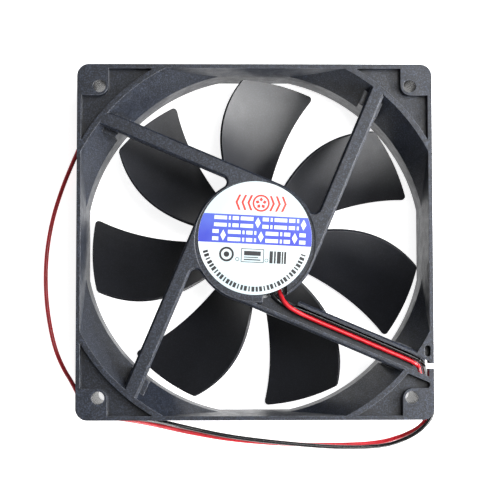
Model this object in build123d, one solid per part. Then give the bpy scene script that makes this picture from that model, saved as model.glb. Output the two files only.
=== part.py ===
from build123d import *
import os
from math import atan, cos, degrees, hypot, pi, radians, sin, sqrt, tan

# A 120 mm computer case fan, lying on its intake face. Millimetres.
# Z is the fan axis. The intake face is at z = 0, and the outlet face, with the
# four arms, the motor base and its round label, is at z = 25.
# X and Y run along the sides of the square frame.

# ---- Frame -----------------------------------------------------------------
FRAME_SIZE = 120.0
FRAME_DEPTH = 25.0
CORNER_R = 4.0
HOLE_SPACING = 105.0
HOLE_R = 2.15
COLUMN_R = 4.1              # tube round each screw hole, between the two flanges
FLANGE_T = 5.0
RIM_W = 1.45                # raised edge round the moulding pockets
POCKET_DEPTH = 3.0
PAD_START = 49.4            # the corner pads reach from here to the frame's corner
PAD_INNER_R = 3.5
NOSE_R = 1.0                # rounded end of the pocket beside the trough
SLIT = (57.85, -37.0)       # small pocket on the trough's other side
SLIT_SIZE = (1.9, 3.8)

THROAT_R = 59.2             # straight part of the air duct, with four flats
THROAT_FLAT = 57.9
MOUTH_R = 66.0              # the duct flares out to this at the outlet face
MOUTH_FLAT = 58.6
FLARE_Z = 13.0
DUCT_WALL = 1.8

# ---- Arms and motor base ----------------------------------------------------
BASE_R = 21.1
BASE_FLOOR_Z = 22.4
SKIRT_WALL = 1.7
SKIRT_Z = 19.9
ARM_ANGLES = (67.0, 157.0, 247.0)
CHANNEL_ANGLE = 337.0
ARM_W = 5.2
ARM_OFFSET = BASE_R - ARM_W / 2      # each arm leaves the base as a tangent
ARM_Z = 20.6
ARM_END_R = MOUTH_R + 1.0
ARM_FILLET = 2.0
EDGE_BEVEL = 0.7
GUSSET_SIDES = (-3.2, 4.2)  # the blocks under the arms' outer ends are wider on one side
GUSSET_TOP = 21.6
CHANNEL_W = 8.1             # the fourth arm is a trough that carries the leads
CHANNEL_OFFSET = BASE_R - 0.2 - CHANNEL_W / 2
CHANNEL_WALL_OUT = 1.7
CHANNEL_WALL_IN = 1.5
CHANNEL_Z = 20.2
CHANNEL_FLOOR_Z = 21.4
CHANNEL_TOP_START = 21.5    # the inner wall starts this far along the trough
NOTCH_X = (2.6, 10.7)       # gap in the base's skirt where the leads come out
NOTCH_Y = -12.6
LEAD_HOLE_X = (53.4, 58.3)  # hole in the outlet flange at the end of the trough
LEAD_SLOT_Y = (-43.0, -41.2)

LABEL_R = 19.15
LABEL_SHIFT = 1.0
LABEL_T = 0.18
LABEL_RECESS_R = 20.35
LABEL_RECESS = 0.4
SERVICE_R = 5.8

# ---- Impeller ---------------------------------------------------------------
BLADES = 7
FIRST_BLADE = 16.5          # angle of the first blade's leading tip corner
TIP_R = 56.4
HUB_R = 20.8
HUB_REAR = 1.2
HUB_FRONT = 19.2
HUB_WALL = 1.4
HUB_FLOOR = 1.6
HUB_EDGE_R = 2.0
BLADE_T = 1.5
BLADE_EDGE_T = 1.0
BLADE_CAMBER = 1.9
TIP_CORNERS_R = (1.2, 0.9)  # rounding of the leading and trailing tip corners

# ---- Motor --------------------------------------------------------------------
YOKE_R = 19.35
YOKE_T = 1.05
YOKE_FRONT = 17.6
MAGNET_R = 18.25
MAGNET_IN = 16.5
MAGNET_Z = (5.0, 16.5)
BOSS_R = 4.0
BOSS_Z = (2.0, 4.9)
SHAFT_R = 1.5
SHAFT_END = 22.2
CLIP_Z = (20.7, 21.3)
TUBE_R = 4.5
TUBE_BORE = 3.5
TUBE_Z = (5.3, 23.9)
BEARING_Z = (6.5, 19.9)
BEARING_BORE = 1.55
STATOR_R = 16.0
STATOR_Z = (8.4, 14.4)
POLE_W = 5.0
COIL_LENGTH = 4.3
BOARD_R = 17.6
BOARD_Z = (17.9, 19.1)

# ---- Leads and plug -----------------------------------------------------------
LEAD_D = 1.5
PLUG_SIZE = (11.5, 5.8, 5.0)         # length, width, height
PLUG_PITCH = 2.54
PLUG_CENTRE = (-36.0, 54.0)
PLUG_HEADING = 30.0
PLUG_Z = FLANGE_T + 0.05


def ring(outer, inner, z0, z1):
    """Flat ring or tube about the fan axis."""
    return Pos(0, 0, z0) * extrude(Circle(outer) - Circle(inner), z1 - z0)


def disc(radius, z0, z1):
    """Solid cylinder about the fan axis."""
    return Pos(0, 0, z0) * extrude(Circle(radius), z1 - z0)


def along(angle, offset):
    """Place of a bar that runs outwards at angle, passing the axis at offset."""
    foot = radians(angle - 90.0)
    return Pos(offset * cos(foot), offset * sin(foot), 0) * Rot(0, 0, angle)


def hole_places():
    half = HOLE_SPACING / 2
    return [Pos(x, y, 0) for x in (-half, half) for y in (-half, half)]


# ---- Frame ----------------------------------------------------------------------
def throat_outline():
    return Circle(THROAT_R) & Rectangle(2 * THROAT_FLAT, 2 * THROAT_FLAT)


def flare_cone(radius_low, radius_high):
    height = FRAME_DEPTH - FLARE_Z
    return Pos(0, 0, FLARE_Z + height / 2) * Cone(radius_low, radius_high, height)


def mouth():
    """Inside of the flare: a cone with four sloping flats, up to the outlet face."""
    height = FRAME_DEPTH - FLARE_Z
    slope = degrees(atan((MOUTH_FLAT - THROAT_FLAT) / height))
    block = extrude(Rectangle(2 * THROAT_FLAT, 2 * THROAT_FLAT), height, taper=-slope)
    return flare_cone(THROAT_R, MOUTH_R) & (Pos(0, 0, FLARE_Z) * block)


def pocket_outline(arc_r):
    """Moulding pockets of one flange: four corners, round the screw pads."""
    inside = FRAME_SIZE / 2 - RIM_W
    area = Rectangle(2 * inside, 2 * inside) - Circle(arc_r)
    pad = inside - PAD_START + CORNER_R
    centre = PAD_START + pad / 2
    for x in (-1, 1):
        for y in (-1, 1):
            area -= Pos(x * centre, y * centre) * RectangleRounded(pad, pad, PAD_INNER_R)
            area -= Pos(x * inside, y * centre) * Rectangle(2.0 * RIM_W, pad)
            area -= Pos(x * centre, y * inside) * Rectangle(pad, 2.0 * RIM_W)
    return area


def front_pocket_outline():
    """Pockets of the outlet flange. The trough cuts one short, and leaves a slit past it."""
    area = pocket_outline(MOUTH_R + DUCT_WALL)
    area -= along(CHANNEL_ANGLE, CHANNEL_OFFSET) * Pos(FRAME_SIZE, 0) * Rectangle(2 * FRAME_SIZE, CHANNEL_W)
    area = Sketch() + [face for face in area.faces() if face.area > 10.0]
    inside = FRAME_SIZE / 2 - RIM_W
    nose = [v for v in area.vertices() if v.X > inside - 0.01 and -PAD_START - 0.01 < v.Y < -PAD_START + 5.0]
    area = fillet(nose, NOSE_R)
    return area + Pos(*SLIT) * RectangleRounded(*SLIT_SIZE, 0.49 * SLIT_SIZE[0])


def flanged_duct():
    """Two square flanges, the duct between them and the four screw columns."""
    plate = RectangleRounded(FRAME_SIZE, FRAME_SIZE, CORNER_R)
    rear_flange = extrude(plate, FLANGE_T)
    front_flange = Pos(0, 0, FRAME_DEPTH - FLANGE_T) * extrude(plate, FLANGE_T)
    wall_r = THROAT_R + DUCT_WALL
    tube = Circle(wall_r) & Rectangle(FRAME_SIZE, FRAME_SIZE)
    body = rear_flange + front_flange + extrude(tube, FLARE_Z)
    square = extrude(Rectangle(FRAME_SIZE, FRAME_SIZE), FRAME_DEPTH)
    body += flare_cone(wall_r, MOUTH_R + DUCT_WALL) & square
    for place in hole_places():
        body += place * extrude(Circle(COLUMN_R), FRAME_DEPTH)

    body -= Pos(0, 0, FRAME_DEPTH - POCKET_DEPTH) * extrude(front_pocket_outline(), POCKET_DEPTH)
    body -= extrude(pocket_outline(wall_r), POCKET_DEPTH)
    for place in hole_places():
        body -= place * extrude(Circle(HOLE_R), FRAME_DEPTH)
    return body


def gussets():
    """Blocks that fill the flare under the outer end of each arm."""
    low, high = GUSSET_SIDES
    bar = x_band(0, FRAME_SIZE, low, high, FLARE_Z, GUSSET_TOP)
    blocks = [along(angle, ARM_OFFSET) * bar for angle in ARM_ANGLES]
    half = CHANNEL_W / 2 + 0.4
    wide = x_band(0, FRAME_SIZE, -half, half, FLARE_Z, GUSSET_TOP)
    blocks.append(along(CHANNEL_ANGLE, CHANNEL_OFFSET) * wide)
    throat = extrude(throat_outline(), FRAME_DEPTH)
    return [block - throat for block in blocks]


def arms_outline():
    """Motor base and its four arms, seen along the axis, with rounded roots."""
    reach = sqrt(ARM_END_R ** 2 - ARM_OFFSET ** 2)
    star = Circle(BASE_R)
    for angle in ARM_ANGLES:
        star += along(angle, ARM_OFFSET) * Pos(reach / 2, 0) * Rectangle(reach, ARM_W)
    roots = [v for v in star.vertices() if hypot(v.X, v.Y) < BASE_R + 0.5 and hypot(v.X, v.Y) > BASE_R - 0.5]
    sharp = [v for v in roots if abs(_arm_side(v)) < ARM_OFFSET]
    return fillet(sharp, ARM_FILLET)


def _arm_side(vertex):
    """Smallest distance of a vertex from any arm's line through the axis."""
    sides = []
    for angle in ARM_ANGLES:
        a = radians(angle)
        if vertex.X * cos(a) + vertex.Y * sin(a) > 1.0:
            sides.append(vertex.X * sin(a) - vertex.Y * cos(a))
    return min(sides, key=abs) if sides else ARM_OFFSET


def arms_and_base():
    """Plain arms and the motor base, with bevelled outer edges."""
    star = arms_outline()
    straight = FRAME_DEPTH - EDGE_BEVEL - ARM_Z
    body = Pos(0, 0, ARM_Z) * extrude(star, straight)
    body += Pos(0, 0, FRAME_DEPTH - EDGE_BEVEL) * extrude(star, EDGE_BEVEL, taper=45)
    return body


def trough():
    """Fourth arm: a trough with an outer wall, a floor and a shorter inner wall."""
    reach = sqrt(ARM_END_R ** 2 - CHANNEL_OFFSET ** 2)
    low = -CHANNEL_W / 2
    high = CHANNEL_W / 2
    section = Polyline(
        (low, CHANNEL_Z), (high, CHANNEL_Z), (high, FRAME_DEPTH - EDGE_BEVEL),
        (high - EDGE_BEVEL, FRAME_DEPTH), (high - CHANNEL_WALL_IN, FRAME_DEPTH),
        (high - CHANNEL_WALL_IN, CHANNEL_FLOOR_Z), (low + CHANNEL_WALL_OUT, CHANNEL_FLOOR_Z),
        (low + CHANNEL_WALL_OUT, FRAME_DEPTH), (low + EDGE_BEVEL, FRAME_DEPTH),
        (low, FRAME_DEPTH - EDGE_BEVEL), close=True)
    # The section is drawn across the trough (first value) and upwards (second).
    across = Plane(origin=(0, 0, 0), x_dir=(0, 1, 0), z_dir=(1, 0, 0))
    bar = extrude(across * make_face(section), reach)
    opening = Pos(CHANNEL_TOP_START / 2 - 2, high, FRAME_DEPTH / 2 + CHANNEL_Z / 2) * Box(
        CHANNEL_TOP_START + 4, 2 * (CHANNEL_WALL_IN + 0.01), FRAME_DEPTH)
    return along(CHANNEL_ANGLE, CHANNEL_OFFSET) * (bar - opening)


def trough_inside(z0, z1):
    """Space between the trough's walls."""
    inside = CHANNEL_W - CHANNEL_WALL_OUT - CHANNEL_WALL_IN
    shift = (CHANNEL_WALL_OUT - CHANNEL_WALL_IN) / 2
    length = 2 * FRAME_SIZE
    bar = Pos(length / 2 - 20, shift, (z0 + z1) / 2) * Box(length, inside, z1 - z0)
    return along(CHANNEL_ANGLE, CHANNEL_OFFSET) * bar


def x_band(x0, x1, y0, y1, z0, z1):
    return Pos((x0 + x1) / 2, (y0 + y1) / 2, (z0 + z1) / 2) * Box(x1 - x0, y1 - y0, z1 - z0)


def lead_exits():
    """Cuts for the leads: the base's notch, the end of the trough, hole and side slot."""
    below = CHANNEL_FLOOR_Z
    top = FRAME_DEPTH + 1
    notch = x_band(NOTCH_X[0], NOTCH_X[1], -40, NOTCH_Y, below, top)
    notch &= trough_inside(below, top) + disc(BASE_R + 0.01, below, top)
    end = trough_inside(below, top) & x_band(20, LEAD_HOLE_X[1], -60, -20, below, top)
    hole = trough_inside(15, top) & x_band(LEAD_HOLE_X[0], LEAD_HOLE_X[1], -60, -20, 15, top)
    slot = x_band(LEAD_HOLE_X[1] - 1, FRAME_SIZE, LEAD_SLOT_Y[0], LEAD_SLOT_Y[1], 15, top)
    return [notch, end, hole, slot]


def frame_housing():
    body = flanged_duct()
    air = mouth()
    for block in gussets():
        air -= block
    body -= air
    body -= extrude(throat_outline(), FRAME_DEPTH)
    body += arms_and_base()
    body += trough()
    body += ring(BASE_R, BASE_R - SKIRT_WALL, SKIRT_Z, ARM_Z + 1)
    body -= disc(BASE_R - SKIRT_WALL, SKIRT_Z - 1, BASE_FLOOR_Z)
    body += ring(TUBE_R + 2.5, TUBE_R, BASE_FLOOR_Z - 2.0, BASE_FLOOR_Z + 0.1)
    body -= disc(TUBE_R, BASE_FLOOR_Z - 3, FRAME_DEPTH)
    body -= disc(SERVICE_R, TUBE_Z[1] - 0.3, FRAME_DEPTH)
    body -= disc(LABEL_RECESS_R, FRAME_DEPTH - LABEL_RECESS, FRAME_DEPTH)
    for cut in lead_exits():
        body -= cut
    return body


# ---- Impeller ------------------------------------------------------------------
def lead_angle(r):
    """Angle of a blade's leading edge at radius r, from its tip corner."""
    span = max(0.0, (r - 20.0) / 36.0)
    return 7.2 * (1.0 - span ** 1.7)


def trail_angle(r):
    """Angle of a blade's trailing edge at radius r, from the leading tip corner."""
    return 45.35 - 0.01145 * (r - 15.6) ** 2


def blade_height(r, s):
    """Height of the blade's middle surface; s runs from leading to trailing edge."""
    out = (r - HUB_R) / (TIP_R - HUB_R)
    low = 2.3 - 0.5 * out
    high = 18.0 - 2.3 * out
    return low + (high - low) * s - 4.0 * BLADE_CAMBER * s * (1.0 - s)


def edge_point(angle_at, middle, x):
    """Where a blade edge crosses the plane at distance x along the blade's middle line."""
    r = x
    for _ in range(30):
        turn = radians(angle_at(r) - middle)
        r = x / cos(turn)
    return r, x * tan(turn)


def blade_section(x, middle):
    """Outline of a blade in the plane at distance x from the axis."""
    r0, y0 = edge_point(lead_angle, middle, x)
    r1, y1 = edge_point(trail_angle, middle, x)
    upper = []
    lower = []
    steps = 6
    for i in range(steps + 1):
        s = i / steps
        r = r0 + (r1 - r0) * s
        y = y0 + (y1 - y0) * s
        ahead = blade_height(r, s + 0.01)
        behind = blade_height(r, s - 0.01)
        slope = (ahead - behind) / (0.02 * (y1 - y0))
        tilt = sqrt(1.0 + slope ** 2)
        half = (BLADE_EDGE_T + (BLADE_T - BLADE_EDGE_T) * sin(radians(180.0 * s))) / 2
        z = blade_height(r, s)
        upper.append((x, y - half * slope / tilt, z + half / tilt))
        lower.append((x, y + half * slope / tilt, z - half / tilt))
    outline = Spline(*upper) + Line(upper[-1], lower[-1])
    outline += Spline(*reversed(lower)) + Line(lower[0], upper[0])
    return make_face(outline)


def corner_cut(angle, slope, along_tip, radius):
    """What to take off a blade's tip corner at this angle to round it, seen along the axis.

    slope is how far the blade's edge moves round per millimetre inwards; along_tip is
    the side of the corner that the blade lies on.
    """
    corner = Vector(TIP_R, 0)
    edge = Vector(-1, slope).normalized()
    tip = Vector(0, along_tip)
    half = radians(edge.get_angle(tip)) / 2
    middle = (edge + tip).normalized()
    centre = corner + middle * (radius / sin(half))
    on_edge = corner + edge * (radius / tan(half))
    on_tip = corner + tip * (radius / tan(half))
    off_edge = (on_edge - centre).normalized()
    off_tip = (on_tip - centre).normalized()
    points = [on_edge, on_edge + off_edge * 2, corner - middle * 4, on_tip + off_tip * 2, on_tip]
    area = make_face(Polyline(*points, close=True)) - Pos(centre.X, centre.Y) * Circle(radius)
    return Rot(0, 0, angle) * Pos(0, 0, -10) * extrude(area, 60)


def blade():
    middle = (lead_angle(HUB_R) + trail_angle(HUB_R)) / 2 - 4.0
    sections = [blade_section(x, middle) for x in (18.0, 27.0, 36.0, 47.0, 58.0)]
    body = loft(sections)
    body = Rot(0, 0, middle) * body
    body &= ring(TIP_R, HUB_R - 0.8, -10, 40)
    lead_slope = TIP_R * radians(lead_angle(TIP_R - 1) - lead_angle(TIP_R))
    trail_slope = TIP_R * radians(trail_angle(TIP_R - 1) - trail_angle(TIP_R))
    body -= corner_cut(lead_angle(TIP_R), lead_slope, 1, TIP_CORNERS_R[0])
    body -= corner_cut(trail_angle(TIP_R), trail_slope, -1, TIP_CORNERS_R[1])
    return body


def impeller():
    hub = fillet(disc(HUB_R, HUB_REAR, HUB_FRONT).edges().group_by(Axis.Z)[0], HUB_EDGE_R)
    hub -= disc(HUB_R - HUB_WALL, HUB_REAR + HUB_FLOOR, HUB_FRONT)
    hub -= disc(BOSS_R, BOSS_Z[0], HUB_FRONT)
    hub -= ring(15.0, 4.5, HUB_REAR, HUB_REAR + 0.4)
    one = blade()
    for k in range(BLADES):
        hub += Rot(0, 0, FIRST_BLADE + k * 360.0 / BLADES) * one
    return hub


# ---- Rotor ---------------------------------------------------------------------
def rotor_yoke():
    floor = HUB_REAR + HUB_FLOOR
    cup = disc(YOKE_R, floor, YOKE_FRONT) - disc(YOKE_R - YOKE_T, floor + YOKE_T, YOKE_FRONT)
    cup = fillet(cup.edges().group_by(Axis.Z)[0], 0.8)
    return cup - disc(BOSS_R, 0, FRAME_DEPTH)


def magnet_ring():
    return ring(MAGNET_R, MAGNET_IN, *MAGNET_Z)


def shaft_boss():
    return ring(BOSS_R, SHAFT_R, *BOSS_Z)


def shaft():
    rod = chamfer(disc(SHAFT_R, BOSS_Z[0], SHAFT_END).edges().group_by(Axis.Z)[-1], 0.3)
    return rod - ring(SHAFT_R + 1, SHAFT_R - 0.4, CLIP_Z[0] - 0.05, CLIP_Z[1] + 0.05)


def oil_ring():
    return ring(2.8, SHAFT_R, 5.35, 6.15)


def retaining_clip():
    clip = ring(3.0, SHAFT_R - 0.35, *CLIP_Z)
    return clip - x_band(0, 5, -0.5, 0.5, CLIP_Z[0] - 1, CLIP_Z[1] + 1)


# ---- Bearing and stator ---------------------------------------------------------
def bearing_tube():
    return ring(TUBE_R, TUBE_BORE, *TUBE_Z)


def sleeve_bearing():
    body = ring(TUBE_BORE, BEARING_BORE, *BEARING_Z)
    return chamfer(body.edges().filter_by(GeomType.CIRCLE).sort_by(SortBy.RADIUS)[-2:], 0.3)


def thrust_washer():
    return ring(3.2, BEARING_BORE + 0.02, 20.0, 20.35)


def dust_cap():
    cap = disc(TUBE_BORE, 22.7, 23.6) + disc(TUBE_BORE + 0.9, 23.9, 24.3) + disc(TUBE_BORE, 23.6, 23.9)
    return cap - disc(2.4, 22.7, 23.4)


def pole_outline(width, inner_r, inner_ring, shoe_in, shoe_out, shoe_angle):
    """Four-pole star: a ring round the bearing tube, four arms and curved shoes."""
    star = Circle(inner_ring)
    for k in range(4):
        star += Rot(0, 0, 90.0 * k) * Pos(shoe_in / 2, 0) * Rectangle(shoe_in, width)
    shoes = Circle(shoe_out) - Circle(shoe_in - 1.0)
    for k in range(4):
        gap = Pos(shoe_out, 0) * Rectangle(2 * shoe_out, 2 * shoe_out * sin(radians(45.0 - shoe_angle)))
        shoes -= Rot(0, 0, 45.0 + 90.0 * k) * gap
    return star + shoes - Circle(inner_r)


def stator_core():
    return Pos(0, 0, STATOR_Z[0]) * extrude(
        pole_outline(POLE_W, TUBE_R, 7.6, 15.0, STATOR_R, 38.0), STATOR_Z[1] - STATOR_Z[0])


def insulator(side):
    """Plastic bobbin half: a plate on the poles with an inner and an outer fence."""
    plate = pole_outline(POLE_W + 1.0, TUBE_R + 0.1, 7.9, 14.8, 15.6, 34.0)
    body = extrude(plate, 1.0)
    fences = (Circle(7.9) - Circle(TUBE_R + 0.1)) + (pole_outline(1.0, 14.2, 1.0, 14.8, 15.4, 30.0))
    body += Pos(0, 0, 1.0) * extrude(fences, 1.6)
    if side < 0:
        return Pos(0, 0, STATOR_Z[0]) * Rot(180, 0, 0) * body
    body = Pos(0, 0, STATOR_Z[1]) * body
    for pin in pin_places():
        body -= pin * Pos(0, 0, STATOR_Z[1] + 0.6) * extrude(Circle(0.35), 5)
    return body


def pin_places():
    return [Rot(0, 0, a) * Pos(6.4, 0, 0) for a in (45.0, 135.0, 225.0)]


def terminal_pins():
    return [pin * Pos(0, 0, STATOR_Z[1] + 0.6) * extrude(Circle(0.35), 5.0) for pin in pin_places()]


def winding(k):
    """One coil of enamelled wire round one pole."""
    low = STATOR_Z[0] - 1.05
    high = STATOR_Z[1] + 1.05
    middle = (low + high) / 2
    inner = Rectangle(POLE_W + 1.1, high - low)
    outer = RectangleRounded(POLE_W + 5.4, high - low + 2.8, 2.2)
    across = Plane(origin=(8.3, 0, middle), x_dir=(0, 1, 0), z_dir=(1, 0, 0))
    return Rot(0, 0, 90.0 * k) * extrude(across * (outer - inner), COIL_LENGTH)


# ---- Circuit board ----------------------------------------------------------------
LEAD_PADS = {"red": (7.7, -11.0), "black": (4.4, -11.6)}
LEAD_START_Z = 20.6


def circuit_board():
    board = ring(BOARD_R, TUBE_R + 0.3, *BOARD_Z)
    for pin in pin_places():
        board -= pin * extrude(Circle(0.45), FRAME_DEPTH)
    return board


def solder_joints():
    """Fillets of solder at the pins and pads, and the bare ends of the two leads."""
    joints = []
    for pin in pin_places():
        cone = Pos(0, 0, BOARD_Z[1] + 0.3) * Cone(0.9, 0.5, 0.6) - extrude(Circle(0.35), FRAME_DEPTH)
        joints.append(pin * cone)
    for x, y in LEAD_PADS.values():
        blob = Pos(x, y, BOARD_Z[1] + 0.3) * Cone(1.1, 0.55, 0.6)
        stem = Pos(x, y, BOARD_Z[1]) * extrude(Circle(0.4), LEAD_START_Z - BOARD_Z[1])
        bend = Pos(x, y, LEAD_START_Z) * Sphere(0.4)
        level = Pos(x, y - 0.8, LEAD_START_Z) * Rot(90, 0, 0) * Cylinder(0.4, 1.6)
        joints.append(blob + stem + bend + level)
    return joints


def on_board(x, y, turn, size):
    """Place of a component of this size, standing on the board's outlet side."""
    return Pos(x, y, BOARD_Z[1] + size[2] / 2) * Rot(0, 0, turn) * Box(*size)


def hall_sensor():
    body = Pos(13.2, 0, BOARD_Z[0] - 1.1) * Box(1.6, 4.0, 2.2)
    return Rot(0, 0, 45) * chamfer(body.edges().filter_by(Axis.Z).sort_by(Axis.X)[-2:], 0.4)


def driver_chip():
    chip = on_board(-10.5, 3.0, 20.0, (4.0, 5.0, 1.6))
    body = [chip]
    for side in (-1, 1):
        for k in range(4):
            place = Pos(-10.5, 3.0, BOARD_Z[1] + 0.2) * Rot(0, 0, 20.0)
            body.append(place * Pos(side * 2.45, -1.9 + 1.27 * k, 0) * Box(0.9, 0.4, 0.4))
    return body


def smoothing_capacitor():
    can = Rot(0, 90, 0) * Cylinder(1.4, 5.5)
    return Pos(9.0, 8.0, BOARD_Z[1] + 1.45) * Rot(0, 0, 130) * can


def protection_diode():
    return on_board(-6.0, -12.0, 65.0, (4.3, 2.6, 1.6))


def resistors():
    places = ((0.0, 12.5, 0.0), (-6.5, 11.5, 30.0), (12.5, 0.5, 90.0), (-12.5, -5.5, 110.0))
    return [on_board(x, y, turn, (2.0, 1.25, 0.6)) for x, y, turn in places]


def label():
    z0 = FRAME_DEPTH - LABEL_RECESS
    return Pos(0, LABEL_SHIFT, z0) * extrude(Circle(LABEL_R), LABEL_T)


# ---- Leads and plug -----------------------------------------------------------------
def plug_place():
    return Pos(PLUG_CENTRE[0], PLUG_CENTRE[1], PLUG_Z) * Rot(0, 0, PLUG_HEADING)


def plug_entry(side):
    """Middle of one cavity's mouth in the plug's rear face."""
    a = radians(PLUG_HEADING)
    back = -PLUG_SIZE[0] / 2
    across = side * PLUG_PITCH / 2
    x = PLUG_CENTRE[0] + back * cos(a) - across * sin(a)
    y = PLUG_CENTRE[1] + back * sin(a) + across * cos(a)
    return (x, y, PLUG_Z + PLUG_SIZE[2] / 2)


def plug_housing():
    """Two-way crimp housing with a cavity for each contact and a locking rib."""
    length, width, height = PLUG_SIZE
    body = Pos(0, 0, height / 2) * Box(length, width, height)
    body = fillet(body.edges().filter_by(Axis.X), 0.4)
    for side in (-1, 1):
        cavity = Pos(0.5, side * PLUG_PITCH / 2, height / 2) * Box(length, 1.8, 1.8)
        window = Pos(0, side * PLUG_PITCH / 2, height) * Box(2.2, 1.1, 2.4)
        body -= cavity + window
    for side in (-1, 1):
        body += Pos(1.5, side * (width / 2 + 0.2), height - 1.0) * Box(6.0, 0.4, 0.8)
    return plug_place() * body


def plug_contacts():
    """Sprung box contact inside each cavity of the plug."""
    length, _, height = PLUG_SIZE
    contacts = []
    for side in (-1, 1):
        box = Pos(1.6, side * PLUG_PITCH / 2, height / 2) * (Box(6.5, 1.5, 1.5) - Box(7.0, 1.0, 1.0))
        contacts.append(plug_place() * box)
    return contacts


RED_ROUTE = [
    (7.7, -12.6, LEAD_START_Z), (7.9, -15.8, 21.4), (8.9, -19.0, 23.4), (10.6, -21.6, 24.15),
    (13.8, -23.7, 24.0), (18.4, -25.95, 22.8), (33.0, -32.1, 22.6), (44.5, -37.0, 22.6),
    (50.9, -39.7, 22.5), (55.0, -41.75, 22.3), (56.3, -44.0, 17.4), (57.3, -47.6, 12.8),
    (59.2, -53.2, 10.2), (60.7, -59.0, 8.9), (58.2, -63.6, 6.2), (52.4, -67.2, 2.0),
    (44.0, -69.8, 0.75), (29.5, -70.5, 0.75), (12.0, -70.2, 0.75), (-8.0, -68.6, 0.75),
    (-24.0, -65.7, 0.9), (-35.0, -62.8, 3.8), (-45.5, -60.6, 8.0), (-55.0, -59.6, 9.0),
    (-59.6, -55.4, 9.0), (-62.4, -49.4, 7.0), (-67.4, -42.6, 2.2), (-70.7, -34.6, 0.75),
    (-73.3, -20.5, 0.75), (-73.6, -5.5, 0.75), (-71.6, 8.2, 0.75), (-67.8, 20.2, 1.6),
    (-63.6, 29.0, 5.2), (-59.8, 36.4, 8.7), (-54.6, 42.4, 9.0), (-48.2, 47.6, 8.3),
]
BLACK_ROUTE = [
    (4.4, -13.2, LEAD_START_Z), (4.9, -16.4, 21.6), (7.0, -19.5, 22.5), (10.6, -21.9, 22.4),
    (15.2, -22.85, 22.35), (31.0, -29.54, 22.45), (45.5, -35.7, 22.45), (52.4, -38.65, 22.4),
    (56.7, -40.75, 22.0), (57.9, -43.4, 18.0), (59.2, -47.8, 13.6), (61.0, -53.4, 12.0),
    (61.8, -59.4, 10.6), (58.6, -64.2, 7.8), (53.4, -68.1, 3.8), (45.5, -70.9, 2.35),
    (30.5, -71.3, 2.3), (13.0, -69.9, 2.3), (-8.0, -67.5, 2.2), (-23.0, -64.2, 2.6),
    (-33.5, -61.4, 6.0), (-43.5, -60.0, 10.0), (-52.5, -58.9, 10.9), (-58.6, -55.2, 10.9),
    (-60.3, -48.5, 9.6), (-61.2, -41.0, 5.9), (-61.3, -33.0, 1.7), (-61.5, -22.0, 0.8),
    (-61.2, -6.0, 0.75), (-61.5, 9.0, 0.75), (-61.5, 19.3, 2.2), (-61.0, 27.4, 7.0),
    (-57.0, 35.0, 9.0), (-52.0, 40.8, 9.0), (-46.4, 45.9, 8.3),
]


def route_radii(points):
    """Largest arc that the two runs at each inner point leave room for."""
    radii = []
    for before, here, after in zip(points, points[1:], points[2:]):
        first = Vector(*here) - Vector(*before)
        second = Vector(*after) - Vector(*here)
        turn = radians(first.get_angle(second))
        radii.append(0.45 * min(first.length, second.length) / tan(turn / 2))
    return radii


def lead(name, points):
    radii = route_radii(points)
    print(name, "arc radii", [round(r, 1) for r in radii])
    path = FilletPolyline(*points, radius=radii)
    start = Plane(origin=points[0], z_dir=Vector(*points[1]) - Vector(*points[0]))
    tube = sweep(start * Circle(LEAD_D / 2), path=path)
    expected = pi * (LEAD_D / 2) ** 2 * path.length
    print(name, "length", round(path.length, 1), "volume ratio", round(tube.volume / expected, 5))
    return tube


def write(node, shape):
    """Write one node; a list of separate solids becomes one compound."""
    if isinstance(shape, list):
        shape = Compound(children=shape)
    export_step(shape, "parts/" + node + ".step")


def main():
    os.makedirs("parts", exist_ok=True)
    write("frame_housing", frame_housing())
    write("impeller", impeller())
    write("rotor_yoke", rotor_yoke())
    write("magnet_ring", magnet_ring())
    write("shaft_boss", shaft_boss())
    write("shaft", shaft())
    write("oil_ring", oil_ring())
    write("retaining_clip", retaining_clip())
    write("bearing_tube", bearing_tube())
    write("sleeve_bearing", sleeve_bearing())
    write("thrust_washer", thrust_washer())
    write("dust_cap", dust_cap())
    write("stator_core", stator_core())
    write("insulator_front", insulator(1))
    write("insulator_rear", insulator(-1))
    for k in range(4):
        write("winding_" + str(k + 1), winding(k))
    write("terminal_pins", terminal_pins())
    write("circuit_board", circuit_board())
    write("solder_joints", solder_joints())
    write("hall_sensor", hall_sensor())
    write("driver_chip", driver_chip())
    write("smoothing_capacitor", smoothing_capacitor())
    write("protection_diode", protection_diode())
    write("resistors", resistors())
    write("label", label())
    write("plug_housing", plug_housing())
    write("plug_contacts", plug_contacts())
    write("lead_red", lead("lead_red", RED_ROUTE + [plug_entry(1)]))
    write("lead_black", lead("lead_black", BLACK_ROUTE + [plug_entry(-1)]))


main()
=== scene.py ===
import math

import bmesh
import bpy
from mathutils import Matrix, Vector


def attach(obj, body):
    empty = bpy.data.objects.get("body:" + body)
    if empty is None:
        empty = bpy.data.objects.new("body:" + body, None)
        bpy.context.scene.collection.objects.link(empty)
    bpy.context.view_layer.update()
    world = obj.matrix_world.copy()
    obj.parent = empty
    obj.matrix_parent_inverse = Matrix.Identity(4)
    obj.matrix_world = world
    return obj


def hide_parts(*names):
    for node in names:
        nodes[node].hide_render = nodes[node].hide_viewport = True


MM = 0.001
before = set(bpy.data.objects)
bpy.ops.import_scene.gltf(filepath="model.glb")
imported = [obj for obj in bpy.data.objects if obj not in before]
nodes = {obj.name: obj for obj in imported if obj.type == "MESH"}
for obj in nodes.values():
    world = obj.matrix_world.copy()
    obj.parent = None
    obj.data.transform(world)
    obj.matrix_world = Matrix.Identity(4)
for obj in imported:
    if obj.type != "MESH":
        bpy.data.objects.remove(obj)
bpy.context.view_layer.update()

# ---- Camera: nearly straight above the outlet face -------------------------------
camera_data = bpy.data.cameras.new("camera")
camera_data.sensor_width = 36.0
camera_data.lens = 94.23
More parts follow.
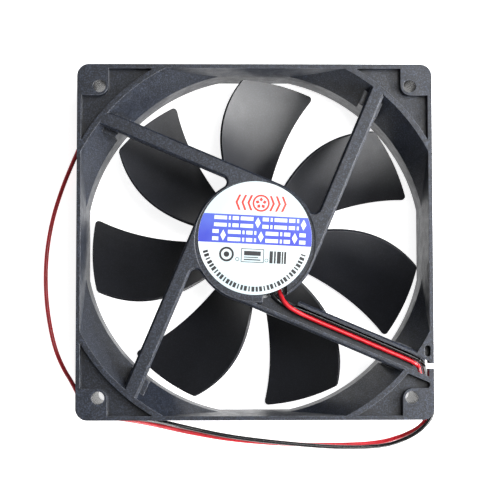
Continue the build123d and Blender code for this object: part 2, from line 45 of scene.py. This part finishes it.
camera_data.clip_start = 0.01
camera = bpy.data.objects.new("camera", camera_data)
camera.location = (-0.00858, -0.02774, 0.46399)
camera.rotation_euler = (0.05613, -0.01563, -0.0014)
bpy.context.scene.collection.objects.link(camera)
bpy.context.scene.camera = camera


def add(obj):
    bpy.context.scene.collection.objects.link(obj)
    return obj


# ---- Materials ---------------------------------------------------------------------
class Nodes:
    """A new material with its shader, and short ways to add and join nodes."""

    def __init__(self, name, **sockets):
        self.material = bpy.data.materials.new(name)
        self.material.use_nodes = True
        self.tree = self.material.node_tree
        self.shader = self.tree.nodes["Principled BSDF"]
        for socket, value in sockets.items():
            self.shader.inputs[socket.replace("_", " ")].default_value = value
        self.place = self.add("ShaderNodeTexCoord").outputs["Object"]

    def add(self, kind, **settings):
        node = self.tree.nodes.new(kind)
        for key, value in settings.items():
            setattr(node, key, value)
        return node

    def join(self, source, target):
        self.tree.links.new(source, target)

    def noise(self, scale, detail, stretch=None):
        """Cloudy noise; stretch is a scale for each axis."""
        node = self.add("ShaderNodeTexNoise")
        node.inputs["Scale"].default_value = scale
        node.inputs["Detail"].default_value = detail
        source = self.place
        if stretch:
            mapping = self.add("ShaderNodeMapping")
            mapping.inputs["Scale"].default_value = stretch
            self.join(self.place, mapping.inputs["Vector"])
            source = mapping.outputs["Vector"]
        self.join(source, node.inputs["Vector"])
        return node.outputs["Fac"]

    def wave(self, pitch, kind, direction, distortion):
        """Regular bands or rings with this spacing."""
        node = self.add("ShaderNodeTexWave", wave_type=kind)
        if kind == "RINGS":
            node.rings_direction = direction
        else:
            node.bands_direction = direction
        node.inputs["Scale"].default_value = math.pi / (10 * pitch)
        node.inputs["Distortion"].default_value = distortion
        self.join(self.place, node.inputs["Vector"])
        return node.outputs["Fac"]

    def cells(self, scale):
        """Distance to the nearest edge of a pattern of random cells."""
        node = self.add("ShaderNodeTexVoronoi", feature="DISTANCE_TO_EDGE")
        node.inputs["Scale"].default_value = scale
        self.join(self.place, node.inputs["Vector"])
        return node.outputs["Distance"]

    def openness(self, distance):
        """1 on open surfaces, falling towards 0 in corners and crevices."""
        node = self.add("ShaderNodeAmbientOcclusion", samples=8)
        node.inputs["Distance"].default_value = distance
        return node.outputs["AO"]

    def ramp(self, source, *stops):
        """Colour ramp; each stop is a position and an RGB colour."""
        node = self.add("ShaderNodeValToRGB")
        elements = node.color_ramp.elements
        while len(elements) < len(stops):
            elements.new(0.5)
        for element, (position, colour) in zip(elements, stops):
            element.position = position
            element.color = (*colour, 1.0)
        self.join(source, node.inputs["Fac"])
        return node.outputs["Color"]

    def span(self, source, low, high, from_low=0.0, from_high=1.0):
        """The source's values between from_low and from_high, spread from low to high."""
        node = self.add("ShaderNodeMapRange")
        node.inputs["From Min"].default_value = from_low
        node.inputs["From Max"].default_value = from_high
        node.inputs["To Min"].default_value = low
        node.inputs["To Max"].default_value = high
        self.join(source, node.inputs["Value"])
        return node.outputs["Result"]

    def mix(self, factor, first, second):
        """Blend of two colours, each a socket or an RGB colour."""
        node = self.add("ShaderNodeMix", data_type="RGBA")
        for value, socket in ((factor, 0), (first, 6), (second, 7)):
            if hasattr(value, "links"):
                self.join(value, node.inputs[socket])
            else:
                node.inputs[socket].default_value = (*value, 1.0)
        return node.outputs[2]

    def bump(self, height, distance, strength=1.0, under=None):
        """Normals of a surface with this relief, on top of the normals under it."""
        node = self.add("ShaderNodeBump")
        node.inputs["Strength"].default_value = strength
        node.inputs["Distance"].default_value = distance
        self.join(height, node.inputs["Height"])
        if under:
            self.join(under, node.inputs["Normal"])
        return node.outputs["Normal"]

    def soft_edges(self, radius):
        """Normals rounded over the model's edges, and a mask that is 1 on the edges."""
        bevel = self.add("ShaderNodeBevel", samples=6)
        bevel.inputs["Radius"].default_value = radius
        flat = self.add("ShaderNodeNewGeometry").outputs["True Normal"]
        dot = self.add("ShaderNodeVectorMath", operation="DOT_PRODUCT")
        self.join(bevel.outputs["Normal"], dot.inputs[0])
        self.join(flat, dot.inputs[1])
        return bevel.outputs["Normal"], self.span(dot.outputs["Value"], 1.0, 0.0, 0.72, 0.97)

    def colour(self, source):
        self.join(source, self.shader.inputs["Base Color"])

    def roughness(self, source):
        self.join(source, self.shader.inputs["Roughness"])

    def normal(self, source):
        self.join(source, self.shader.inputs["Normal"])


# Reach and colour of the painted shade in corners and crevices.
PAINTED_SHADE_REACH = 0.004
PAINTED_SHADE_COLOUR = (0.001, 0.001, 0.001)


def moulded_plastic(name, dark, light, rough, grain, edge_highlight, edge=0.0003, painted_glint_gain=2.0, uneven=0.06):
    """Dyed plastic from a spark-eroded mould, with painted highlights on its edges, painted glints
    in its grain and painted shade in its crevices.

    grain is the relief's depth, edge_highlight the colour of the painted edge highlight, edge
    the edges' width, painted_glint_gain the brightness of the painted glints and uneven the
    spread of the roughness.
    """
    m = Nodes(name)
    fine = m.noise(2600.0, 2.0)
    colour = m.ramp(m.noise(60.0, 3.0), (0.3, dark), (0.7, light))
    # Painted glints: specks brighter than the plastic, put in the base colour, stand in for the grain's
    # glints.
    painted_glints = m.span(m.noise(2300.0, 3.0), 0.0, 1.0, 0.47, 0.72)
    colour = m.mix(painted_glints, colour, tuple(painted_glint_gain * c for c in light))
    normal, edges = m.soft_edges(edge)
    # Painted highlight: a paler colour on the edges, broken up by noise.
    painted_edge_light = m.add("ShaderNodeMath", operation="MULTIPLY")
    m.join(m.span(m.noise(900.0, 3.0), 0.25, 1.0, 0.35, 0.6), painted_edge_light.inputs[0])
    m.join(edges, painted_edge_light.inputs[1])
    colour = m.mix(painted_edge_light.outputs[0], colour, edge_highlight)
    # Painted shade: the colour darkens towards near-black where corners and crevices close in.
    colour = m.mix(m.span(m.openness(PAINTED_SHADE_REACH), 0.7, 0.0, 0.25, 0.7), colour, PAINTED_SHADE_COLOUR)
    m.colour(colour)
    m.roughness(m.span(m.noise(340.0, 4.0), rough - uneven, rough + uneven, 0.35, 0.65))
    m.normal(m.bump(fine, grain, 1.0, normal))
    return m


def smooth_bores(m, offset, radius, rough):
    """Makes the plastic shiny in the four screw holes, where a polished pin formed it.

    Each hole's axis is at plus or minus offset in x and in y.
    """
    fold = m.add("ShaderNodeVectorMath", operation="ABSOLUTE")
    flat = m.add("ShaderNodeVectorMath", operation="MULTIPLY")
    apart = m.add("ShaderNodeVectorMath", operation="DISTANCE")
    flat.inputs[1].default_value = (1.0, 1.0, 0.0)
    apart.inputs[1].default_value = (offset, offset, 0.0)
    m.join(m.place, fold.inputs[0])
    m.join(fold.outputs[0], flat.inputs[0])
    m.join(flat.outputs[0], apart.inputs[0])
    inside = m.span(apart.outputs["Value"], 1.0, 0.0, radius, radius + 0.0001)
    socket = m.shader.inputs["Roughness"]
    grain = socket.links[0].from_socket
    shiny = m.add("ShaderNodeMix")
    m.join(inside, shiny.inputs[0])
    m.join(grain, shiny.inputs[2])
    shiny.inputs[3].default_value = rough
    m.join(shiny.outputs[0], socket)


def insulation(name, dark, light, rough, coat):
    """Wire insulation: smooth extruded vinyl with faint cloudy marks."""
    m = Nodes(name)
    m.colour(m.ramp(m.noise(420.0, 3.0), (0.35, dark), (0.65, light)))
    m.shader.inputs["Coat Weight"].default_value = coat
    m.shader.inputs["Coat Roughness"].default_value = 0.08
    m.roughness(m.span(m.noise(900.0, 2.0), rough - 0.05, rough + 0.1, 0.35, 0.65))
    m.normal(m.bump(m.noise(1500.0, 2.0), 0.00002))
    return m.material


def metal(name, dark, light, rough, stretch, mark=0.00001):
    """Bare metal with tooling marks drawn out along the stretch axes."""
    m = Nodes(name, Metallic=1.0)
    grain = m.noise(900.0, 3.0, stretch)
    m.colour(m.ramp(grain, (0.3, dark), (0.7, light)))
    m.roughness(m.span(m.noise(300.0, 3.0), rough - 0.06, rough + 0.1, 0.35, 0.65))
    m.normal(m.bump(grain, mark))
    return m.material


def white_nylon(name, tint):
    """Undyed nylon that lets a little light in."""
    m = Nodes(name, Subsurface_Weight=0.15)
    m.shader.inputs["Subsurface Radius"].default_value = (0.0012, 0.0011, 0.0009)
    m.shader.inputs["Subsurface Scale"].default_value = 1.0
    darker = tuple(0.86 * c for c in tint)
    m.colour(m.ramp(m.noise(500.0, 3.0), (0.35, darker), (0.65, tint)))
    m.roughness(m.span(m.noise(800.0, 2.0), 0.38, 0.52, 0.35, 0.65))
    m.normal(m.bump(m.noise(2200.0, 2.0), 0.00001))
    return m.material


def printed(name, colour, second_colour, coat=0.5):
    """Ink on a glossy film, a little uneven, as from a screen."""
    m = Nodes(name)
    m.shader.inputs["Coat Weight"].default_value = coat
    m.shader.inputs["Coat Roughness"].default_value = 0.15
    m.colour(m.ramp(m.noise(48.0, 2.0), (0.35, second_colour), (0.62, colour)))
    m.roughness(m.span(m.noise(700.0, 2.0), 0.3, 0.42, 0.35, 0.65))
    m.normal(m.bump(m.noise(90.0, 2.0), 0.00003))
    return m.material


def sintered(name, dark, light, rough, metallic=0.0):
    """Pressed powder: speckled, with tiny open pores."""
    m = Nodes(name, Metallic=metallic)
    grit = m.noise(1900.0, 4.0)
    m.colour(m.ramp(grit, (0.32, dark), (0.6, light)))
    m.roughness(m.span(m.noise(500.0, 3.0), rough - 0.08, rough + 0.08, 0.35, 0.65))
    m.normal(m.bump(m.span(m.cells(2400.0), 0.0, 1.0, 0.0, 0.2), 0.00002, 0.6))
    return m.material


def laminated(name, dark, light, pitch):
    """Stack of stamped sheets: fine lines round the edges."""
    m = Nodes(name, Metallic=1.0)
    sheets = m.wave(pitch, "BANDS", "Z", 0.2)
    m.colour(m.mix(m.noise(700.0, 3.0), dark, light))
    m.roughness(m.span(sheets, 0.34, 0.55))
    m.normal(m.bump(sheets, 0.00006))
    return m.material


def wound_wire(name, dark, light, pitch):
    """Enamelled wire in close turns about a tooth that points away from the axis."""
    m = Nodes(name, Metallic=1.0)
    m.shader.inputs["Coat Weight"].default_value = 0.7
    turns = m.wave(pitch, "RINGS", "Z", 0.5)
    m.colour(m.ramp(turns, (0.15, dark), (0.7, light)))
    m.roughness(m.span(m.noise(600.0, 2.0), 0.24, 0.38, 0.35, 0.65))
    m.normal(m.bump(turns, 0.00012))
    return m.material


def solder_mask(name, green, copper):
    """Board lacquer over copper tracks, which stand a little proud."""
    m = Nodes(name)
    grid = m.add("ShaderNodeTexBrick", squash=0.6, squash_frequency=3, offset=0.37)
    sizes = {"Scale": 200.0, "Mortar Size": 0.045, "Brick Width": 1.1, "Row Height": 0.34}
    for socket, value in sizes.items():
        grid.inputs[socket].default_value = value
    m.join(m.place, grid.inputs["Vector"])
    tracks = grid.outputs["Fac"]
    lacquer = m.mix(m.noise(800.0, 2.0), green, tuple(1.3 * c for c in green))
    m.colour(m.mix(tracks, lacquer, copper))
    m.roughness(m.span(m.noise(400.0, 2.0), 0.28, 0.42, 0.35, 0.65))
    m.normal(m.bump(tracks, 0.00003))
    return m.material


def dress(node, material):
    """Gives a CAD node one material."""
    slots = nodes[node].data.materials
    slots.clear()
    slots.append(material)


# ---- Leads ---------------------------------------------------------------------------
LEAD_D = 1.5
RED_ROUTE = [
    (7.7, -12.6, 20.6), (7.9, -15.8, 21.4), (8.9, -19.0, 23.4), (10.6, -21.6, 24.15),
    (13.8, -23.7, 24.0), (18.4, -25.95, 22.8), (33.0, -32.1, 22.6), (44.5, -37.0, 22.6),
    (50.9, -39.7, 22.5), (55.0, -41.75, 22.3), (56.3, -44.0, 17.4), (57.3, -47.6, 12.8),
    (59.2, -53.2, 10.2), (60.7, -59.0, 8.9), (58.2, -63.6, 6.2), (52.4, -67.2, 2.0),
    (44.0, -69.8, 0.75), (29.5, -70.5, 0.75), (12.0, -70.2, 0.75), (-8.0, -68.6, 0.75),
    (-24.0, -65.7, 0.9), (-35.0, -62.8, 3.8), (-45.5, -60.6, 8.0), (-55.0, -59.6, 9.0),
    (-59.6, -55.4, 9.0), (-62.4, -49.4, 7.0), (-67.4, -42.6, 2.2), (-70.7, -34.6, 0.75),
    (-73.3, -20.5, 0.75), (-73.6, -5.5, 0.75), (-71.6, 8.2, 0.75), (-67.8, 20.2, 1.6),
    (-63.6, 29.0, 5.2), (-59.8, 36.4, 8.7), (-54.6, 42.4, 9.0), (-48.2, 47.6, 8.3),
    (-41.61, 52.22, 7.55),
]
BLACK_ROUTE = [
    (4.4, -13.2, 20.6), (4.9, -16.4, 21.6), (7.0, -19.5, 22.5), (10.6, -21.9, 22.4),
    (15.2, -22.85, 22.35), (31.0, -29.54, 22.45), (45.5, -35.7, 22.45), (52.4, -38.65, 22.4),
    (56.7, -40.75, 22.0), (57.9, -43.4, 18.0), (59.2, -47.8, 13.6), (61.0, -53.4, 12.0),
    (61.8, -59.4, 10.6), (58.6, -64.2, 7.8), (53.4, -68.1, 3.8), (45.5, -70.9, 2.35),
    (30.5, -71.3, 2.3), (13.0, -69.9, 2.3), (-8.0, -67.5, 2.2), (-23.0, -64.2, 2.6),
    (-33.5, -61.4, 6.0), (-43.5, -60.0, 10.0), (-52.5, -58.9, 10.9), (-58.6, -55.2, 10.9),
    (-60.3, -48.5, 9.6), (-61.2, -41.0, 5.9), (-61.3, -33.0, 1.7), (-61.5, -22.0, 0.8),
    (-61.2, -6.0, 0.75), (-61.5, 9.0, 0.75), (-61.5, 19.3, 2.2), (-61.0, 27.4, 7.0),
    (-57.0, 35.0, 9.0), (-52.0, 40.8, 9.0), (-46.4, 45.9, 8.3), (-40.34, 50.03, 7.55),
]


def lead(name, route, material):
    """One insulated wire along its route, in millimetres, up to the piece on its end."""
    curve = bpy.data.curves.new(name, "CURVE")
    curve.dimensions = "3D"
    curve.bevel_depth = LEAD_D / 2 * MM
    curve.bevel_resolution = 6
    curve.resolution_u = 16
    curve.use_fill_caps = True
    spline = curve.splines.new("NURBS")
    spline.points.add(len(route) - 1)
    for point, place in zip(spline.points, route):
        point.co = (*(MM * value for value in place), 1.0)
    spline.order_u = 3
    spline.use_endpoint_u = True
    curve.materials.append(material)
    obj = add(bpy.data.objects.new(name + "_wire", curve))
    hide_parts(name)
    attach(obj, "frame")


red_vinyl = insulation("red_vinyl", (0.42, 0.006, 0.013), (0.55, 0.012, 0.022), 0.32, 0.3)
black_vinyl = insulation("black_vinyl", (0.004, 0.004, 0.0045), (0.008, 0.0075, 0.008), 0.2, 0.6)
lead("lead_red", RED_ROUTE, red_vinyl)
lead("lead_black", BLACK_ROUTE, black_vinyl)

# ---- Floor and light ---------------------------------------------------------------
FLOOR_HALF = 3.0
FLOOR_GAP = 0.0001

floor_mesh = bpy.data.meshes.new("floor")
floor_bm = bmesh.new()
bmesh.ops.create_grid(floor_bm, x_segments=1, y_segments=1, size=FLOOR_HALF)
floor_bm.to_mesh(floor_mesh)
floor_bm.free()
floor = add(bpy.data.objects.new("floor", floor_mesh))
floor.location.z = -FLOOR_GAP
floor_paint = Nodes("floor_paint", Base_Color=(0.9, 0.9, 0.9, 1.0), Roughness=0.9,
                    Emission_Color=(1.0, 1.0, 1.0, 1.0), Emission_Strength=0.85)
floor_mesh.materials.append(floor_paint.material)

world = bpy.data.worlds.new("world")
world.use_nodes = True
world.node_tree.nodes["Background"].inputs["Color"].default_value = (1.0, 1.0, 1.0, 1.0)
world.node_tree.nodes["Background"].inputs["Strength"].default_value = 0.16
bpy.context.scene.world = world
bpy.context.scene.view_settings.view_transform = "Standard"


def soft_light(name, place, size, power):
    """Rectangular light that faces the fan."""
    light = bpy.data.lights.new(name, "AREA")
    light.shape = "RECTANGLE"
    light.size, light.size_y = size
    light.energy = power
    obj = add(bpy.data.objects.new(name, light))
    obj.location = place
    obj.rotation_euler = Vector(place).to_track_quat("Z", "Y").to_euler()


soft_light("key_right", (0.36, -0.03, 0.2), (0.22, 0.26), 4.2)
soft_light("fill_low", (0.2, -0.5, 0.22), (0.3, 0.2), 2.4)
soft_light("overhead", (0.32, 0.17, 0.8), (0.4, 0.5), 5.0)

# ---- Materials of the CAD pieces ------------------------------------------------------
HOLE_OFFSET = 0.0525
HOLE_R = 0.0022
WIRE_PITCH = 0.0003
SHEET_T = 0.0005

# The third colour of each moulded plastic is its painted edge highlight.
frame_plastic = moulded_plastic(
    "frame_plastic", (0.0045, 0.0057, 0.009), (0.008, 0.01, 0.0155), 0.44, 0.00008,
    (0.2, 0.21, 0.24), painted_glint_gain=5.0)
smooth_bores(frame_plastic, HOLE_OFFSET, HOLE_R, 0.2)
blade_plastic = moulded_plastic(
    "blade_plastic", (0.004, 0.0044, 0.006), (0.007, 0.0077, 0.011), 0.42, 0.000006,
    (0.06, 0.062, 0.07), uneven=0.02)
plug_plastic = moulded_plastic(
    "plug_plastic", (0.006, 0.006, 0.007), (0.011, 0.011, 0.013), 0.45, 0.00001,
    (0.05, 0.05, 0.055), edge=0.0001)
rubber = moulded_plastic(
    "nitrile_rubber", (0.008, 0.008, 0.008), (0.016, 0.016, 0.016), 0.62, 0.00001,
    (0.03, 0.03, 0.03), edge=0.0001)
epoxy = moulded_plastic(
    "chip_epoxy", (0.008, 0.008, 0.009), (0.015, 0.015, 0.016), 0.5, 0.00001,
    (0.05, 0.05, 0.05), edge=0.00005)
plated = metal("zinc_plate", (0.36, 0.37, 0.38), (0.55, 0.56, 0.57), 0.34, (1.0, 1.0, 0.1))
ground = metal("ground_steel", (0.6, 0.6, 0.61), (0.72, 0.72, 0.73), 0.16, (0.05, 0.05, 1.0), 0.000002)
brass = metal("turned_brass", (0.52, 0.36, 0.12), (0.7, 0.5, 0.2), 0.26, (0.1, 0.1, 1.0))
tin = metal("tin_plate", (0.5, 0.5, 0.5), (0.7, 0.7, 0.69), 0.28, (1.0, 1.0, 1.0))
bronze = sintered("sintered_bronze", (0.24, 0.12, 0.05), (0.45, 0.26, 0.12), 0.42, 1.0)
ferrite = sintered("bonded_ferrite", (0.012, 0.011, 0.011), (0.035, 0.033, 0.032), 0.66)
nylon = white_nylon("natural_nylon", (0.76, 0.74, 0.67))
copper = wound_wire("enamelled_copper", (0.3, 0.08, 0.03), (0.66, 0.26, 0.12), WIRE_PITCH)
core_steel = laminated("silicon_steel", (0.2, 0.2, 0.21), (0.34, 0.34, 0.35), SHEET_T)
lacquered_board = solder_mask("solder_mask", (0.012, 0.07, 0.022), (0.05, 0.13, 0.04))
ceramic = sintered("capacitor_ceramic", (0.3, 0.17, 0.07), (0.42, 0.26, 0.12), 0.4)
film = printed("label_film_white", (0.64, 0.68, 0.69), (0.5, 0.6, 0.63), 0.3)

FINISHES = {
    frame_plastic.material: ["frame_housing"],
    blade_plastic.material: ["impeller"],
    plug_plastic.material: ["plug_housing"],
    rubber.material: ["oil_ring", "dust_cap"],
    epoxy.material: ["driver_chip", "hall_sensor", "protection_diode", "resistors"],
    plated: ["rotor_yoke"],
    ground: ["shaft"],
    brass: ["shaft_boss", "bearing_tube"],
    tin: ["terminal_pins", "solder_joints", "plug_contacts"],
    bronze: ["sleeve_bearing"],
    ferrite: ["magnet_ring"],
    nylon: ["retaining_clip", "thrust_washer", "insulator_front", "insulator_rear"],
    copper: ["winding_1", "winding_2", "winding_3", "winding_4"],
    core_steel: ["stator_core"],
    lacquered_board: ["circuit_board"],
    ceramic: ["smoothing_capacitor"],
    film: ["label"],
}
for finish, dressed in FINISHES.items():
    for node_name in dressed:
        dress(node_name, finish)

# ---- Label print: a generic design, without words ---------------------------------------
# Places are in millimetres from the label's centre, along the slightly turned print.
LABEL_CENTRE = Vector((0.0, 1.0))
LABEL_TOP = 24.78
LABEL_TURN = Matrix.Rotation(math.radians(-2.9), 2)
PRINT_R = 19.1
INK_SUNK = 0.02             # how far the ink reaches into the label
BAND_INK = 0.01             # how far each ink stands above the label
MARK_INK = 0.012
BAR_INK = 0.018             # the white ink lies over the band


def block(x0, y0, x1, y1):
    return [(x0, y0), (x1, y0), (x1, y1), (x0, y1)]


def ring_points(x, y, radius, count=28):
    turns = [math.tau * i / count for i in range(count)]
    return [(x + radius * math.cos(turn), y + radius * math.sin(turn)) for turn in turns]


def outlined(points, width):
    """Closed line of this width along the inside of a convex outline, as four-sided shapes."""
    count = len(points)
    inner = []
    for i in range(count):
        here = Vector(points[i])
        to_last = (Vector(points[i - 1]) - here).normalized()
        to_next = (Vector(points[(i + 1) % count]) - here).normalized()
        half = to_last.angle(to_next) / 2
        inner.append(here + (to_last + to_next).normalized() * width / math.sin(half))
    after = [(i + 1) % count for i in range(count)]
    return [[points[i], points[j], inner[j], inner[i]] for i, j in enumerate(after)]


def band(low, high, radius, steps=16):
    """The part of a disc between two heights."""
    start, stop = math.asin(low / radius), math.asin(high / radius)
    angles = [start + (stop - start) * i / steps for i in range(steps + 1)]
    angles += [math.pi - a for a in reversed(angles)]
    return [(radius * math.cos(a), radius * math.sin(a)) for a in angles]


def curved_row(inner_r, outer_r, first, last, widths):
    """Small blocks along an arc, each turned to face the centre."""
    shapes = []
    for i, width in enumerate(widths):
        middle = math.radians(first + (last - first) * i / (len(widths) - 1))
        out = Vector((math.cos(middle), math.sin(middle)))
        side = Vector((-out.y, out.x)) * width / 2
        near, far = out * inner_r, out * outer_r
        shapes.append([near - side, far - side, far + side, near + side])
    return shapes


def sign(kind, x, low, high):
    """One small geometric sign of the two white rows, and its width."""
    middle, bar = (low + high) / 2, 0.34 * (high - low)
    if kind == "diamond":
        half = 0.95
        return [[(x, middle), (x + half, low), (x + 2 * half, middle), (x + half, high)]], 2 * half
    width = {"long": 4.3, "short": 2.1, "dot": 0.7}[kind]
    return [block(x, low, x + width, low + bar), block(x, high - bar, x + width, high)], width


def white_row(low, high, x, signs):
    """Row of signs between two heights, from x to the right."""
    gap = 0.6
    row = []
    for kind in signs.split():
        shapes, width = sign(kind, x, low, high)
        row += shapes
        x += width + gap
    return row


def chevrons(x, y, half_height):
    """Three chevrons on each side of a place, which point away from it."""
    thick, slope = 0.75, 1.1
    shapes = []
    for side in (-1, 1):
        for reach in (3.9, 5.9, 7.9):
            outer, inner = x + side * reach, x + side * (reach - slope)
            for end in (-1, 1):
                tip = y + end * half_height
                at_tip = [(inner, tip), (inner + side * thick, tip)]
                shapes.append(at_tip + [(outer + side * thick, y), (outer, y)])
    return shapes


def pinwheel(x, y, ring_r):
    """Ring round five small vanes."""
    hub = Vector((x, y))
    shapes = outlined(ring_points(x, y, ring_r), 0.6)
    vanes = 5
    for i in range(vanes):
        turn = math.tau * i / vanes + 0.3
        tip = Vector((math.cos(turn), math.sin(turn)))
        side = Vector((-tip.y, tip.x))
        back, front = hub + tip * 1.2 - side * 0.6, hub + tip * 1.3 + side * 0.7
        shapes.append([hub + tip * 0.5, back, hub + tip * 2.0, front])
    return shapes


def black_marks():
    """Ring with a dot, box of bars, upright bars, two small rings and the curved row."""
    shapes = outlined(ring_points(-9.3, -5.9, 2.5), 0.7) + [ring_points(-9.3, -5.9, 0.95, 16)]
    shapes += outlined(block(-4.4, -8.3, 3.3, -3.7), 0.22)
    shapes += [block(-3.4, -6.0, 2.2, -4.5), block(-3.4, -6.75, 1.4, -6.45), block(-3.4, -7.6, 2.2, -7.2)]
    uprights = ((5.2, 1.1), (6.7, 0.6), (7.7, 1.3), (9.3, 0.5), (10.1, 0.7))
    shapes += [block(x, -8.3, x + width, -4.2) for x, width in uprights]
    shapes += outlined(ring_points(-5.6, -7.4, 0.65, 16), 0.16)
    shapes += outlined(ring_points(4.2, -7.4, 0.6, 16), 0.16)
    shapes += curved_row(16.4, 18.1, 198.0, 343.0, (0.8, 1.0, 0.5, 1.0, 0.8, 1.0, 0.5) * 5)
    return shapes


def ink(name, shapes, height, material):
    """Thin raised ink in the given outlines."""
    bm = bmesh.new()
    for outline in shapes:
        rings = []
        for z in (LABEL_TOP - INK_SUNK, LABEL_TOP + height):
            places = [LABEL_TURN @ Vector(point) + LABEL_CENTRE for point in outline]
            rings.append([bm.verts.new((MM * p.x, MM * p.y, MM * z)) for p in places])
        low, high = rings
        bm.faces.new(high)
        bm.faces.new(list(reversed(low)))
        for i in range(len(high)):
            j = (i + 1) % len(high)
            bm.faces.new((low[i], low[j], high[j], high[i]))
    bmesh.ops.recalc_face_normals(bm, faces=bm.faces)
    mesh = bpy.data.meshes.new(name)
    bm.to_mesh(mesh)
    bm.free()
    mesh.materials.append(material)
    obj = add(bpy.data.objects.new(name, mesh))
    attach(obj, "frame")


blue_ink = printed("blue_ink", (0.03, 0.04, 0.42), (0.07, 0.11, 0.5))
white_ink = printed("white_ink", (0.7, 0.74, 0.78), (0.6, 0.68, 0.76))
red_ink = printed("red_ink", (0.62, 0.06, 0.03), (0.52, 0.03, 0.015))
black_ink = printed("black_ink", (0.012, 0.012, 0.013), (0.02, 0.02, 0.022), 0.2)

upper_row = white_row(3.3, 7.0, -14.0, "long dot short long diamond short dot long short dot diamond")
lower_row = white_row(
    -1.4, 2.3, -14.4, "short diamond long dot short dot diamond long dot short diamond short")

ink("label_band", [band(-2.1, 7.6, PRINT_R)], BAND_INK, blue_ink)
ink("label_bars", upper_row + lower_row, BAR_INK, white_ink)
ink("label_emblem", chevrons(1.5, 11.8, 2.6) + pinwheel(1.5, 11.8, 2.9), MARK_INK, red_ink)
ink("label_marks", black_marks(), MARK_INK, black_ink)
